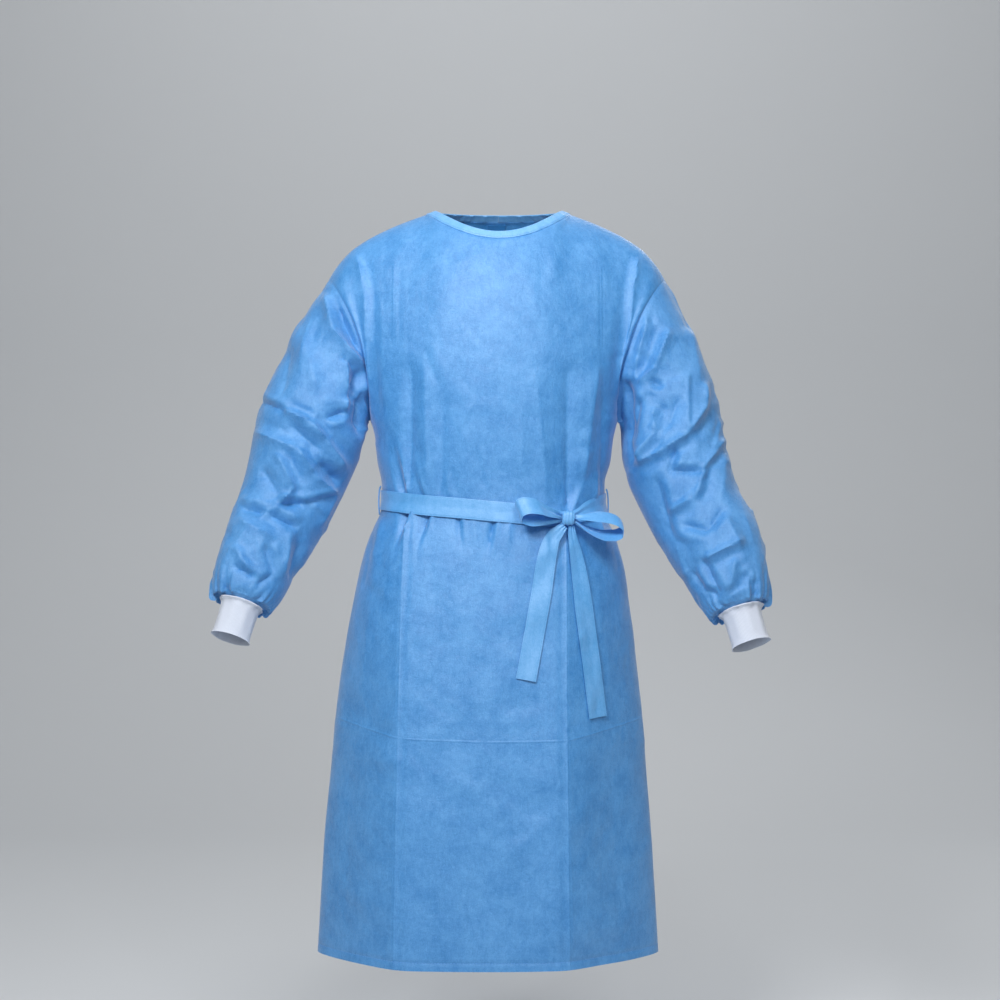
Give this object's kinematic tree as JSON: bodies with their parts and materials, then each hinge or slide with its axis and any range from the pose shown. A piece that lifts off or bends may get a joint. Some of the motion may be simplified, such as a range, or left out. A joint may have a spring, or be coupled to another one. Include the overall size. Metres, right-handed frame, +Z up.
{
  "type": "surgical gown",
  "caption": "Long-sleeved disposable surgical gown in its worn form, open at the neck, hem and cuffs, with a waist belt tied in a bow at the front.",
  "frame": {"origin": "middle of the neck opening, level with the tops of the shoulders", "axes": "+Z up along the body, the front faces -Y, +X is to the right of a person who looks at the front"},
  "size_m": [0.8641, 0.3248, 1.1782],
  "materials": {
    "blue_nonwoven": "matt pressed fibre cloth with a slight sheen",
    "blue_tie": "matt folded strip of the same cloth",
    "tab_blue": "matt, a darker closing strip",
    "white_knit": "matt fine ribbed knit"
  },
  "bodies": {
    "root": {"upper_front": "blue_nonwoven", "lower_front": "blue_nonwoven", "back_left": "blue_nonwoven", "back_right": "blue_nonwoven", "upper_sleeve_left": "blue_nonwoven", "lower_sleeve_left": "blue_nonwoven", "upper_sleeve_right": "blue_nonwoven", "lower_sleeve_right": "blue_nonwoven", "cuff_left": "white_knit", "cuff_right": "white_knit", "neck_binding": "blue_tie", "neck_tab": "tab_blue", "belt": "blue_tie", "bow_knot": "blue_tie", "bow_loop_left": "blue_tie", "bow_loop_right": "blue_tie", "tie_tail_left": "blue_tie", "tie_tail_right": "blue_tie", "belt_loop_left": "blue_nonwoven", "belt_loop_right": "blue_nonwoven"}
  },
  "joints": []
}
